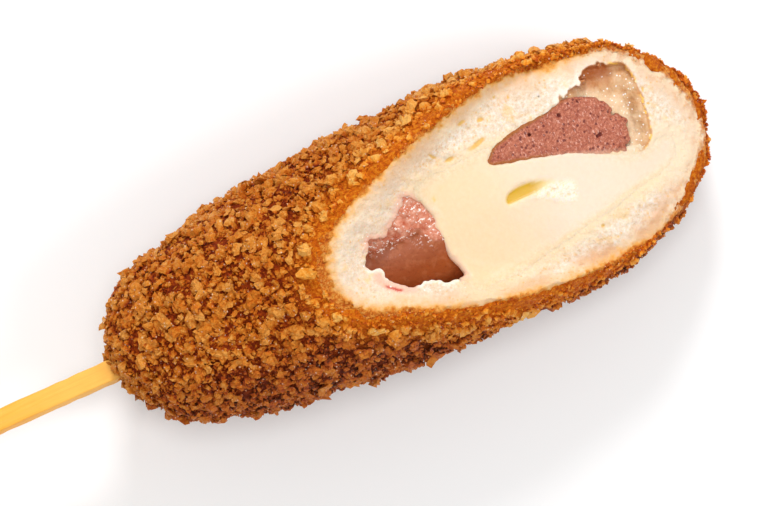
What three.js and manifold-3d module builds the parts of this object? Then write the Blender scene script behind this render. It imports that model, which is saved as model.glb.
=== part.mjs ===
// A fried corn dog on a square wooden stick, bitten open along its upper side.
//
// Millimetres. +X runs along the corn dog towards its bitten end, +Z points up, and the
// origin is the middle of the flat spot that it rests on.

import * as THREE from "three";
import { ImprovedNoise } from "three/addons/math/ImprovedNoise.js";
import { mergeVertices } from "three/addons/utils/BufferGeometryUtils.js";
import Module from "manifold-3d";

const wasm = await Module();
wasm.setup();
const noise = new ImprovedNoise();
const { smoothstep, lerp, degToRad } = THREE.MathUtils;

// The uncut body: a round bar with two blunt ends.
const BODY_RADIUS = 26.2;
const WIDEST_X = 12;
const BACK_END_X = -69.3;
const FRONT_END_X = 68.2;
const BACK_TAPER = 0.115;
const BACK_BLUNTNESS = 4.4;
const FRONT_BLUNTNESS = 2.9;
const AXIS_HEIGHT = 24.9;
const PROFILE_STEPS = 120;

// The crust's relief: crags of crumb on slow swells, fading out where it meets the ground.
const FACET = 2.15;
const CRAG_HEIGHT = 1.5;
const CRAG_SPACING = 2.6;
const SWELL_HEIGHT = 0.6;
const SWELL_SPACING = 15;
const SMOOTH_ABOVE_GROUND = 1.5;

// The bite: heights above the axis along its length, dished inwards from the rim.
const BITE_LINE = [21.0, -0.178, -0.00232, -0.0000128];
const BITE_ROLL = 0.064;
const BITE_ROLL_FADE = 0.0021;
const BITE_CROWN = 0.0053;
const BITE_RIM = 6;
const DISH_DEPTH = { back: 7.6, front: 0.8 };
const DISH_FADE = { start: 5, end: 50 };
const TORN_HEIGHT = 0.5;
const TORN_SPACING = 3.4;
const BITE_BOX = { back: -34, front: 76, halfWidth: 34, top: 40, facet: 2.6 };

// The space inside that the fillings lie in, at the bite: sections along X, each with its
// middle, its half width, and its rise above and drop below the axis.
const SPACE_BLUNTNESS = 3;
const SPACE_SIDES = 32;
const SPACE_SECTIONS = [
  { x: -12.6, y: -4, halfWidth: 0, rise: 0, drop: 0 },
  { x: -12, y: -4, halfWidth: 4.5, rise: 18, drop: 8 },
  { x: -10.5, y: -4, halfWidth: 6.5, rise: 19.5, drop: 10 },
  { x: -5.7, y: -4.2, halfWidth: 8.4, rise: 19, drop: 11 },
  { x: 2.5, y: -2.5, halfWidth: 11.9, rise: 17, drop: 12 },
  { x: 8, y: -2.3, halfWidth: 14, rise: 16, drop: 12.5 },
  { x: 21, y: -1.3, halfWidth: 16.4, rise: 15, drop: 12.5 },
  { x: 22.8, y: -3.7, halfWidth: 13.5, rise: 15, drop: 12.5 },
  { x: 30, y: -2.2, halfWidth: 13.6, rise: 14.5, drop: 12 },
  { x: 39, y: 0, halfWidth: 13.1, rise: 14, drop: 11 },
  { x: 48, y: 4, halfWidth: 13.6, rise: 13, drop: 10.5 },
  { x: 55, y: 4.9, halfWidth: 9.2, rise: 11, drop: 9 },
  { x: 57.4, y: 4.9, halfWidth: 5, rise: 8, drop: 6 },
  { x: 58.2, y: 4.9, halfWidth: 0, rise: 0, drop: 0 },
];

// The sausage on the stick.
const SAUSAGE_RADIUS = 12.3;
const SAUSAGE_BACK_X = -56;
const SAUSAGE_FRONT_X = 7.7;
const SAUSAGE_SIDES = 32;
const SAUSAGE_END_RINGS = 5;

// Corners, seen from above, of the cheese and the second sausage. They meet along a seam.
const CHEESE_BACK_X = 8.1;
const SEAM_START = new THREE.Vector2(21.2, 6.9);
const SEAM_END = new THREE.Vector2(49.8, -3.9);
const SLICE_TIP = new THREE.Vector2(51.7, 2.7);
const SLICE_SHOULDER = new THREE.Vector2(38.1, 20);
const CHEESE_FRONT = new THREE.Vector2(60, -4.6);
const BEYOND = 30;

// The stick.
const STICK_SIDE = 4.5;
const STICK_ROLL = degToRad(-11);
const STICK_Y = -1.2;
const STICK_BACK_X = -139.3;
const STICK_FRONT_X = -14;

const GAP = 0.3;

const COLOURS = {
  crust: { color: 0xb9722f, roughness: 0.75 },
  sausage: { color: 0xb4644a, roughness: 0.45 },
  cheese: { color: 0xf7e4bd, roughness: 0.45 },
  wood: { color: 0xe0a04e, roughness: 0.7 },
};

// Radius of the uncut body at a place along it.
function bodyRadius(x) {
  const behind = x < WIDEST_X;
  const end = behind ? BACK_END_X : FRONT_END_X;
  const share = Math.min(1, (x - WIDEST_X) / (end - WIDEST_X));
  const taper = behind ? 1 - BACK_TAPER * share : 1;
  const bluntness = behind ? BACK_BLUNTNESS : FRONT_BLUNTNESS;
  return BODY_RADIUS * taper * Math.sqrt(1 - share ** bluntness);
}

// Height of the bite's surface above the axis.
function biteHeight(x, y) {
  const line = BITE_LINE.reduce((sum, factor, power) => sum + factor * x ** power, 0);
  const roll = Math.max(0, BITE_ROLL - BITE_ROLL_FADE * x);
  const rim = line + roll * y - BITE_CROWN * y * y;
  const surface = Math.sqrt(Math.max(0, bodyRadius(Math.max(x, BACK_END_X)) ** 2 - y * y));
  const fade = smoothstep(x, DISH_FADE.start, DISH_FADE.end);
  const dish = lerp(DISH_DEPTH.back, DISH_DEPTH.front, fade);
  return rim - dish * smoothstep(surface - rim, 0, BITE_RIM);
}

function noiseAt(point, spacing) {
  return noise.noise(point.x / spacing, point.y / spacing, point.z / spacing);
}

// A closed solid through rings of points round the X axis, ordered along +X. Neighbouring
// rings may differ in their number of points, and the first and last ring are one point.
function solidFromRings(rings) {
  const triangles = [];
  let start = 0;
  for (let k = 0; k + 1 < rings.length; k++) {
    const here = rings[k].length;
    const next = rings[k + 1].length;
    const nextStart = start + here;
    let i = 0;
    let j = 0;
    while ((here > 1 && i < here) || (next > 1 && j < next)) {
      const canStepHere = here > 1 && i < here;
      const canStepNext = next > 1 && j < next;
      const corner = start + (i % here);
      const nextCorner = nextStart + (j % next);
      if (canStepHere && (!canStepNext || (i + 1) * next <= (j + 1) * here)) {
        i += 1;
        triangles.push(corner, start + (i % here), nextCorner);
      } else {
        j += 1;
        triangles.push(corner, nextStart + (j % next), nextCorner);
      }
    }
    start = nextStart;
  }
  const vertProperties = new Float32Array(rings.flat().flatMap((point) => point.toArray()));
  const triVerts = new Uint32Array(triangles);
  return new wasm.Manifold(new wasm.Mesh({ numProp: 3, vertProperties, triVerts }));
}

// The solid inside a closed three.js geometry.
function solidFromGeometry(geometry) {
  geometry.deleteAttribute("normal");
  geometry.deleteAttribute("uv");
  const merged = mergeVertices(geometry);
  return new wasm.Manifold(new wasm.Mesh({
    numProp: 3,
    vertProperties: new Float32Array(merged.attributes.position.array),
    triVerts: new Uint32Array(merged.index.array),
  }));
}

// The browned body before the bite, its relief pushed out along the surface's normal.
function craggyBody() {
  const profile = new THREE.SplineCurve(Array.from({ length: PROFILE_STEPS + 1 }, (_, i) => {
    const along = (1 - Math.cos((Math.PI * i) / PROFILE_STEPS)) / 2;
    const x = lerp(BACK_END_X, FRONT_END_X, along);
    return new THREE.Vector2(x, bodyRadius(x));
  }));
  const steps = Math.round(profile.getLength() / FACET);
  const rings = Array.from({ length: steps + 1 }, (_, k) => {
    const { x, y: radius } = profile.getPointAt(k / steps);
    const tangent = profile.getTangentAt(k / steps);
    const isEnd = k === 0 || k === steps;
    const count = isEnd ? 1 : Math.max(6, Math.round((2 * Math.PI * radius) / FACET));
    return Array.from({ length: count }, (_, i) => {
      const angle = (2 * Math.PI * (i + (k % 2) / 2)) / count;
      const reach = isEnd ? 0 : radius;
      const point = new THREE.Vector3(x, reach * Math.cos(angle), reach * Math.sin(angle));
      const normal = new THREE.Vector3(
        -tangent.y,
        tangent.x * Math.cos(angle),
        tangent.x * Math.sin(angle),
      );
      const clear = smoothstep(point.z + AXIS_HEIGHT, 0, SMOOTH_ABOVE_GROUND);
      const swell = SWELL_HEIGHT * noiseAt(point, SWELL_SPACING);
      const crags = CRAG_HEIGHT * noiseAt(point, CRAG_SPACING);
      return point.addScaledVector(normal, clear * (swell + crags));
    });
  });
  return solidFromRings(rings);
}

// Everything above the bite's surface. Torn dough is rougher than sliced filling.
function biteSolid(roughness) {
  const { back, front, halfWidth, top, facet } = BITE_BOX;
  const length = front - back;
  const box = new THREE.BoxGeometry(
    length,
    2 * halfWidth,
    2,
    Math.round(length / facet),
    Math.round((2 * halfWidth) / facet),
    1,
  );
  const position = box.attributes.position;
  for (let i = 0; i < position.count; i++) {
    const point = new THREE.Vector3().fromBufferAttribute(position, i);
    const isLower = point.z < 0;
    point.x += (back + front) / 2;
    point.z = isLower ? biteHeight(point.x, point.y) : top;
    if (isLower) point.z += roughness * noiseAt(point, TORN_SPACING);
    position.setXYZ(i, point.x, point.y, point.z);
  }
  return solidFromGeometry(box);
}

// The space that the fillings lie in, or the same shape drawn in by a gap on every side.
function fillingSpace(gap) {
  const power = 2 / SPACE_BLUNTNESS;
  const rings = SPACE_SECTIONS.map(({ x, y, halfWidth, rise, drop }) => {
    const isEnd = halfWidth === 0;
    const width = isEnd ? 0 : halfWidth - gap;
    return Array.from({ length: isEnd ? 1 : SPACE_SIDES }, (_, i) => {
      const angle = (2 * Math.PI * i) / SPACE_SIDES;
      const across = Math.cos(angle);
      const up = Math.sin(angle);
      const height = isEnd ? 0 : (up > 0 ? rise : drop) - gap;
      return new THREE.Vector3(
        x - Math.sign(x) * gap,
        y + Math.sign(across) * Math.abs(across) ** power * width,
        Math.sign(up) * Math.abs(up) ** power * height,
      );
    });
  });
  return solidFromRings(rings);
}

// A sausage along X with one domed and one flat end, grown by a gap on every side.
function sausageOnStick(gap) {
  const radius = SAUSAGE_RADIUS + gap;
  const domed = Array.from({ length: SAUSAGE_END_RINGS + 1 }, (_, i) => {
    const turn = (Math.PI / 2) * (i / SAUSAGE_END_RINGS);
    const x = SAUSAGE_BACK_X - gap + radius * (1 - Math.cos(turn));
    return { x, reach: radius * Math.sin(turn) };
  });
  const front = SAUSAGE_FRONT_X + gap;
  const stations = [...domed, { x: front, reach: radius }, { x: front, reach: 0 }];
  return solidFromRings(stations.map(({ x, reach }) => {
    const count = reach === 0 ? 1 : SAUSAGE_SIDES;
    return Array.from({ length: count }, (_, i) => {
      const angle = (2 * Math.PI * i) / SAUSAGE_SIDES;
      return new THREE.Vector3(x, STICK_Y + reach * Math.cos(angle), reach * Math.sin(angle));
    });
  }));
}

// The stick as a box, or the hole for it when a gap is given.
function stickBox(gap) {
  const length = STICK_FRONT_X - STICK_BACK_X + 2 * gap;
  const side = STICK_SIDE + 2 * gap;
  const box = new THREE.BoxGeometry(length, side, side);
  box.rotateX(STICK_ROLL);
  box.translate((STICK_BACK_X + STICK_FRONT_X) / 2, STICK_Y, 0);
  return solidFromGeometry(box);
}

// An upright block over a plan outline, tall enough to pass through the whole body.
function planBlock(outline) {
  const block = new THREE.ExtrudeGeometry(new THREE.Shape(outline), {
    depth: 2 * BEYOND,
    bevelEnabled: false,
  });
  block.translate(0, 0, -BEYOND);
  return solidFromGeometry(block);
}

// Everything below the flat that the body rests on.
function groundBox() {
  const box = new THREE.BoxGeometry(2 * (FRONT_END_X - BACK_END_X), 4 * BEYOND, BEYOND);
  box.translate(0, 0, -AXIS_HEIGHT - BEYOND / 2);
  return solidFromGeometry(box);
}

// What is left of the body: fried dough with its browned crumb crust, open at the bite.
function doughSolid() {
  return craggyBody()
    .subtract(groundBox())
    .subtract(biteSolid(TORN_HEIGHT))
    .subtract(sausageOnStick(GAP).add(fillingSpace(0)).add(stickBox(GAP)));
}

function cheeseSolid() {
  const outline = [
    new THREE.Vector2(CHEESE_BACK_X, -BEYOND),
    new THREE.Vector2(CHEESE_FRONT.x, -BEYOND),
    CHEESE_FRONT,
    new THREE.Vector2(SEAM_END.x, SEAM_END.y - GAP),
    new THREE.Vector2(SEAM_START.x - GAP, SEAM_START.y - GAP),
    new THREE.Vector2(SEAM_START.x - GAP, BEYOND),
    new THREE.Vector2(CHEESE_BACK_X, BEYOND),
  ];
  return fillingSpace(GAP).intersect(planBlock(outline)).subtract(biteSolid(0));
}

function upperSausageSolid() {
  const outline = [
    SEAM_START,
    SEAM_END,
    SLICE_TIP,
    SLICE_SHOULDER,
    new THREE.Vector2(SEAM_START.x, SLICE_SHOULDER.y),
  ];
  return fillingSpace(GAP).intersect(planBlock(outline)).subtract(biteSolid(0));
}

function sausageSolid() {
  return sausageOnStick(0).subtract(stickBox(GAP)).subtract(biteSolid(0));
}

function meshOf(name, solid, look) {
  const { vertProperties, triVerts } = solid.getMesh();
  const geometry = new THREE.BufferGeometry();
  geometry.setAttribute("position", new THREE.BufferAttribute(vertProperties, 3));
  geometry.setIndex(new THREE.BufferAttribute(triVerts, 1));
  geometry.computeVertexNormals();
  const mesh = new THREE.Mesh(geometry, new THREE.MeshStandardMaterial(look));
  mesh.name = name;
  return mesh;
}

const cornDog = new THREE.Group();
cornDog.position.z = AXIS_HEIGHT;
cornDog.add(meshOf("dough", doughSolid(), COLOURS.crust));
cornDog.add(meshOf("sausage", sausageSolid(), COLOURS.sausage));
cornDog.add(meshOf("upper_sausage", upperSausageSolid(), COLOURS.sausage));
cornDog.add(meshOf("cheese", cheeseSolid(), COLOURS.cheese));
cornDog.add(meshOf("stick", stickBox(0), COLOURS.wood));

export default cornDog;
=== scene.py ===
"""Looks for the bitten corn dog: its crumb crust, torn dough, melted cheese, sausage and stick.

Shapes are worked out in millimetres, x along the corn dog towards its bitten end and z up from
its axis, and go into Blender in metres, z up from the ground.
"""

import functools
import itertools
import math
import types

import bpy
import numpy as np
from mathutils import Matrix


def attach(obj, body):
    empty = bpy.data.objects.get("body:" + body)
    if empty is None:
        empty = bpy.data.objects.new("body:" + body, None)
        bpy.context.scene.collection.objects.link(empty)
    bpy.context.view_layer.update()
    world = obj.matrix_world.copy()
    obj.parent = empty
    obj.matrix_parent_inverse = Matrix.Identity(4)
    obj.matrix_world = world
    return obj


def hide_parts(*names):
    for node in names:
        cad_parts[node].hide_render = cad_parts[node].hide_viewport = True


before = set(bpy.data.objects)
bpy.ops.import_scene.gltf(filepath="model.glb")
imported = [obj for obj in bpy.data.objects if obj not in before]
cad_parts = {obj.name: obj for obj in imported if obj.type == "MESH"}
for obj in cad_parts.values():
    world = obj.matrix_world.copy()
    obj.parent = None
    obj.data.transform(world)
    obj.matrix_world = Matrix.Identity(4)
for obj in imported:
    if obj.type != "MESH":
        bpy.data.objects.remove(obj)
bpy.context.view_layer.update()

MM = 0.001
CURVE_STEPS = 8

# The uncut body, as in the part's source.
BODY_RADIUS = 26.2
WIDEST_X = 12.0
BACK_END_X = -69.3
FRONT_END_X = 68.2
BACK_TAPER = 0.115
BACK_BLUNTNESS = 4.4
FRONT_BLUNTNESS = 2.9
AXIS_HEIGHT = 24.9

# The bite, as in the part's source: heights above the axis, dished inwards from the rim.
BITE_LINE = (21.0, -0.178, -0.00232, -0.0000128)
BITE_ROLL = 0.064
BITE_ROLL_FADE = 0.0021
BITE_CROWN = 0.0053
BITE_RIM = 6.0
DISH_BACK = 7.6
DISH_FRONT = 0.8
DISH_START = 5.0
DISH_END = 50.0

# Sausage and stick, as in the part's source.
SAUSAGE_RADIUS = 12.3
SAUSAGE_BACK_X = -56.0
SAUSAGE_FRONT_X = 7.7
STICK_SIDE = 4.5
STICK_ROLL = math.radians(-11)
STICK_SHIFT = 0.4
STICK_Y = -1.2
STICK_BACK_X = -139.3
STICK_FRONT_X = -14.0

# Outlines of the bite's parts, seen from above.
BREAD = [
    (-20.2, -4.0), (-18.6, 2.6), (-15.7, 6.4), (-8.4, 11.1), (-0.3, 14.2), (10.1, 17.6),
    (20.1, 20.4), (29.0, 21.8), (40.1, 20.4), (49.1, 19.2), (56.0, 16.0), (61.6, 8.3),
    (64.8, -0.5), (63.5, -6.8), (57.9, -13.6), (48.5, -20.2), (38.5, -22.1), (26.0, -22.7),
    (16.0, -21.4), (2.9, -18.6), (-8.4, -13.6), (-15.9, -10.5),
]
OPENING = [
    (1.0, 7.5), (3.5, 5.1), (4.6, 1.1), (3.8, -1.0), (4.4, -6.1), (6.4, -13.6), (5.4, -12.7),
    (3.5, -12.5), (1.9, -12.3), (0.1, -11.1), (-2.1, -10.3), (-5.3, -10.2), (-7.1, -8.6),
    (-9.0, -7.1), (-9.5, -6.1), (-8.9, -5.2), (-9.6, -4.1), (-11.5, -3.6), (-12.1, -2.4),
    (-11.2, -0.8), (-9.9, 1.1), (-9.5, 2.1), (-7.8, 1.7), (-5.9, 1.4), (-4.3, 2.6), (-2.4, 3.9),
    (-0.9, 5.4),
]
CHEESE = [
    (3.6, 5.2), (2.9, 8.2), (6.0, 9.5), (13.0, 9.9), (19.6, 10.3), (27.0, 9.0), (40.0, 3.4),
    (45.6, -1.8), (50.6, -3.7), (55.0, -2.2), (58.2, -3.9), (56.6, -9.2), (45.1, -11.8),
    (34.8, -14.1), (25.1, -15.7), (13.5, -17.0), (8.6, -16.4), (6.3, -13.4), (4.4, -6.1),
    (3.8, -1.0), (4.6, 1.4),
]
SLICE = [
    (19.7, 6.6), (22.4, 9.6), (27.9, 10.9), (34.4, 11.7), (39.4, 12.6), (44.1, 11.3),
    (47.2, 8.6), (48.7, 6.9), (47.9, 5.9), (49.4, 4.8), (49.8, 2.2), (49.5, -0.8), (47.4, -3.3),
    (43.5, -1.8), (36.3, 1.5), (27.9, 3.9), (22.3, 5.4),
]
CAVITY = [
    (38.6, 12.2), (40.2, 13.8), (42.4, 13.6), (44.2, 14.0), (45.9, 15.8), (45.4, 16.9),
    (50.4, 16.2), (54.7, 14.2), (55.3, 8.3), (54.6, 2.0), (53.4, -2.3), (50.4, -3.7),
    (45.6, -3.0), (44.0, 4.0), (42.0, 9.0),
]
DENT = [(20.2, -2.8), (20.6, -1.1), (22.9, -0.3), (26.5, -0.4), (31.6, -2.2), (27.5, -2.8), (23.5, -2.9)]
GRAINY = [(25.5, -3.2), (30.0, -2.6), (34.5, -3.8), (33.5, -7.8), (29.0, -5.6)]

# Long pores in the dough: place, length, width and turn.
PORES = [
    (12.8, 10.6, 2.6, 0.5, 0.0), (19.4, 11.5, 5.2, 0.6, 0.2), (9.8, 12.7, 2.2, 0.5, -0.7),
    (18.2, 16.7, 2.4, 0.4, 0.2), (22.1, 15.8, 1.8, 0.5, 0.0), (26.6, 18.9, 0.7, 0.4, 0.4),
    (29.3, 17.6, 0.6, 0.5, 0.0), (56.2, 7.8, 1.4, 0.35, 1.3), (55.8, 4.7, 0.7, 0.5, 0.9),
    (6.6, 4.4, 0.8, 0.35, -0.2), (36.5, -14.9, 0.9, 0.5, 0.6),
]
SLIVER = ((-10.7, -5.4), (-10.2, -7.2), (-7.6, -9.3), (-5.0, -10.6))


# ---- numbers

def ease(value, low, high):
    """The value's share of the way from low to high, smoothed."""
    share = np.clip((value - low) / (high - low), 0, 1)
    return share * share * (3 - 2 * share)


def hashed(ix, iy, iz, seed):
    """An even random number from 0 to 1 for each place of a lattice."""
    value = np.uint32((seed * 0x9E3779B1) & 0xFFFFFFFF)
    for index, factor in ((ix, 0x8DA6B343), (iy, 0xD8163841), (iz, 0xCB1AB31F)):
        value = value ^ index.astype(np.int64).astype(np.uint32) * np.uint32(factor)
    for shift, factor in ((15, 0x2C1B3C6D), (12, 0x297A2D39), (15, 1)):
        value = (value ^ value >> np.uint32(shift)) * np.uint32(factor)
    return value.astype(np.float32) / np.float32(2**32)


def noise(x, y, z, spacing, seed):
    """Smooth noise from -1 to 1 on a lattice of that spacing."""
    scaled = [np.asarray(v, np.float32) / spacing for v in (x, y, z)]
    cells = [np.floor(v) for v in scaled]
    parts = [v - c for v, c in zip(scaled, cells)]
    fades = [p * p * p * (p * (p * 6 - 15) + 10) for p in parts]
    total = 0
    for corner in itertools.product((0, 1), repeat=3):
        wx, wy, wz = [f if d else 1 - f for f, d in zip(fades, corner)]
        total = total + hashed(*[c + d for c, d in zip(cells, corner)], seed) * wx * wy * wz
    return total * 2 - 1


def relief(x, y, z, *waves):
    """Sum of noises, each given as its height, spacing and seed."""
    return sum(height * noise(x, y, z, spacing, seed) for height, spacing, seed in waves)


def pits(x, y, z, spacing, smallest, largest, share, seed):
    """How far inside the nearest of some scattered balls each place is."""
    scaled = [np.asarray(v, np.float32) / spacing for v in (x, y, z)]
    cells = [np.floor(v) for v in scaled]
    best = np.full(np.broadcast(x, y, z).shape, -spacing, np.float32)
    for step in itertools.product((-1, 0, 1), repeat=3):
        cell = [c + d for c, d in zip(cells, step)]
        away = 0
        for axis in range(3):
            centre = cell[axis] + hashed(*cell, seed + axis + 1)
            away = away + (scaled[axis] - centre) ** 2
        size = smallest + (largest - smallest) * hashed(*cell, seed + 4) ** 2
        size = np.where(hashed(*cell, seed + 5) < share, size, -spacing)
        best = np.maximum(best, size - spacing * np.sqrt(away))
    return best


def closed_curve(points):
    """A smooth closed outline through points, in short straight steps."""
    p = np.array(points, float)
    before, after, beyond = np.roll(p, 1, 0), np.roll(p, -1, 0), np.roll(p, -2, 0)
    t = np.arange(CURVE_STEPS)[:, None, None] / CURVE_STEPS
    curve = 0.5 * (
        2 * p
        + (after - before) * t
        + (2 * before - 5 * p + 4 * after - beyond) * t**2
        + (3 * p - before - 3 * after + beyond) * t**3
    )
    return curve.transpose(1, 0, 2).reshape(-1, 2)


def off_line(start, end, x, y):
    """Squared distance from the straight line between two points."""
    (ax, ay), (bx, by) = start, end
    ex, ey, px, py = bx - ax, by - ay, x - ax, y - ay
    t = np.clip((px * ex + py * ey) / (ex * ex + ey * ey + 1e-12), 0, 1)
    return (px - t * ex) ** 2 + (py - t * ey) ** 2


def inside(points, x, y):
    """Distance inwards from the closed curve through points, negative outside it."""
    outline = closed_curve(points)
    x, y = np.broadcast_arrays(x, y)
    nearest = np.full(x.shape, 1e9)
    odd = np.zeros(x.shape, bool)
    for (ax, ay), (bx, by) in zip(outline, np.roll(outline, -1, 0)):
        nearest = np.minimum(nearest, off_line((ax, ay), (bx, by), x, y))
        crosses = (ay > y) != (by > y)
        odd ^= crosses & (x - ax < ((bx - ax) / (by - ay + 1e-12)) * (y - ay))
    return np.where(odd, 1, -1) * np.sqrt(nearest)


def least(*fields):
    """The solid that several solids share."""
    return functools.reduce(np.minimum, fields).astype(np.float32)


def spaced(*stretches):
    """Grid lines through stretches, each given as start, end and spacing."""
    lines = [np.arange(a, b - step / 3, step) for a, b, step in stretches]
    return np.concatenate([*lines, [stretches[-1][1]]])


def grid(xs, ys, zs):
    """The places where grid lines cross: x, y and z, then x and y alone as seen from above."""
    x, y, z = np.meshgrid(xs, ys, zs, indexing="ij", sparse=True)
    return x, y, z, (x[:, :, 0], y[:, :, 0])


def below(top, z):
    """How far each place of a grid is below a surface seen from above."""
    return top[:, :, None] - z


def pitted(field, x, y, z, reach, *kind):
    """The field with pits of that kind cut where it is within reach of zero."""
    close = np.abs(field) < reach
    places = [np.broadcast_to(v, field.shape)[close] for v in (x, y, z)]
    field[close] = np.minimum(field[close], -pits(*places, *kind))
    return field


# ---- body and bite

def body_half(x):
    """Of the body's half that a place is in: share of the way to its end, length, bluntness and
    radius before the end's rounding."""
    behind = x < WIDEST_X
    length = np.where(behind, WIDEST_X - BACK_END_X, FRONT_END_X - WIDEST_X)
    share = np.abs(x - WIDEST_X) / length
    radius = BODY_RADIUS * np.where(behind, 1 - BACK_TAPER * np.minimum(share, 1.1), 1)
    return share, length, np.where(behind, BACK_BLUNTNESS, FRONT_BLUNTNESS), radius


def body_radius(x):
    share, _, bluntness, radius = body_half(x)
    return radius * np.sqrt(1 - np.minimum(share, 1) ** bluntness)


def body_depth(x, y, z):
    """Depth below the uncut body's skin, close to true near it and negative outside."""
    share, length, bluntness, radius = body_half(x)
    across = (y * y + z * z) / radius**2
    value = 1 - share**bluntness - across
    slope_along = bluntness * share ** (bluntness - 1) / length
    slope_out = 2 * np.sqrt(across) / radius
    return value / np.sqrt(slope_along**2 + slope_out**2 + 1e-4)


def bite_height(x, y):
    line = sum(factor * x**power for power, factor in enumerate(BITE_LINE))
    roll = np.maximum(0, BITE_ROLL - BITE_ROLL_FADE * x)
    rim = line + roll * y - BITE_CROWN * y * y
    surface = np.sqrt(np.maximum(0, body_radius(x) ** 2 - y * y))
    dish = DISH_BACK + (DISH_FRONT - DISH_BACK) * ease(x, DISH_START, DISH_END)
    return rim - dish * ease(surface - rim, 0, BITE_RIM)


# ---- meshes

def surface_net(field, xs, ys, zs):
    """The surface where a field on a grid of lines crosses zero, positive inside. It is closed
    unless the solid runs out through the grid's side."""
    shape = np.array(field.shape) - 1
    corners = list(np.ndindex(2, 2, 2))
    solid = field > 0
    filled = np.zeros(shape, np.int8)
    for corner in corners:
        filled += solid[tuple(slice(c, c + n) for c, n in zip(corner, shape))]
    cells = np.argwhere((filled > 0) & (filled < 8))
    index = np.full(shape, -1, np.int64)
    index[tuple(cells.T)] = np.arange(len(cells))
    unit = np.eye(3, dtype=int)
    total = np.zeros((len(cells), 3))
    count = np.zeros(len(cells))
    for corner, axis in itertools.product(corners, range(3)):
        if corner[axis]:
            continue
        ia, ib = cells + corner, cells + corner + unit[axis]
        fa, fb = field[tuple(ia.T)], field[tuple(ib.T)]
        crosses = (fa > 0) != (fb > 0)
        t = np.where(crosses, fa / np.where(crosses, fa - fb, 1), 0)
        for k, lines in enumerate((xs, ys, zs)):
            pa, pb = lines[ia[:, k]], lines[ib[:, k]]
            total[:, k] += np.where(crosses, pa + (pb - pa) * t, 0)
        count += crosses
    quads = []
    for axis in range(3):
        u, v = (axis + 1) % 3, (axis + 2) % 3
        edge = np.argwhere(np.diff(solid, axis=axis))
        edge = edge[(edge[:, (u, v)] > 0).all(1) & (edge[:, (u, v)] < shape[[u, v]]).all(1)]
        outward = solid[tuple(edge.T)]
        around = [edge - unit[u] - unit[v], edge - unit[v], edge, edge - unit[u]]
        quad = np.stack([index[tuple(cell.T)] for cell in around], 1)
        quads.append(np.where(outward[:, None], quad, quad[:, ::-1]))
    return total / count[:, None], np.concatenate(quads)


def placed(name, data):
    """An object in the scene."""
    thing = bpy.data.objects.new(name, data)
    bpy.context.scene.collection.objects.link(thing)
    return thing


def mesh_piece(name, vertices, faces, masks, smooth=True):
    """A Blender object from millimetre vertices above the axis and faces of equal size."""
    mesh = bpy.data.meshes.new(name)
    mesh.from_pydata((vertices + (0, 0, AXIS_HEIGHT)) * MM, [], faces, shade_flat=not smooth)
    for mask, values in masks.items():
        layer = mesh.attributes.new(mask, "FLOAT", "POINT")
        layer.data.foreach_set("value", values.astype(np.float32).ravel())
    piece = placed(name, mesh)
    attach(piece, "root")
    return piece


# ---- materials

# Light under the surface: its weight, each colour's share of its reach and that reach in metres.
DOUGH_GLOW = (0.3, (1.0, 0.6, 0.35), 1.0 * MM)
CHEESE_GLOW = (0.3, (1.0, 0.62, 0.3), 1.0 * MM)
MEAT_GLOW = (0.2, (1.0, 0.35, 0.25), 1.2 * MM)


def linear(colour):
    """A screen colour of six hexadecimal digits as Blender's linear one."""
    shares = [c / 255 for c in colour.to_bytes(3, "big")]
    return [c / 12.92 if c <= 0.04045 else ((c + 0.055) / 1.055) ** 2.4 for c in shares] + [1]


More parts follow.
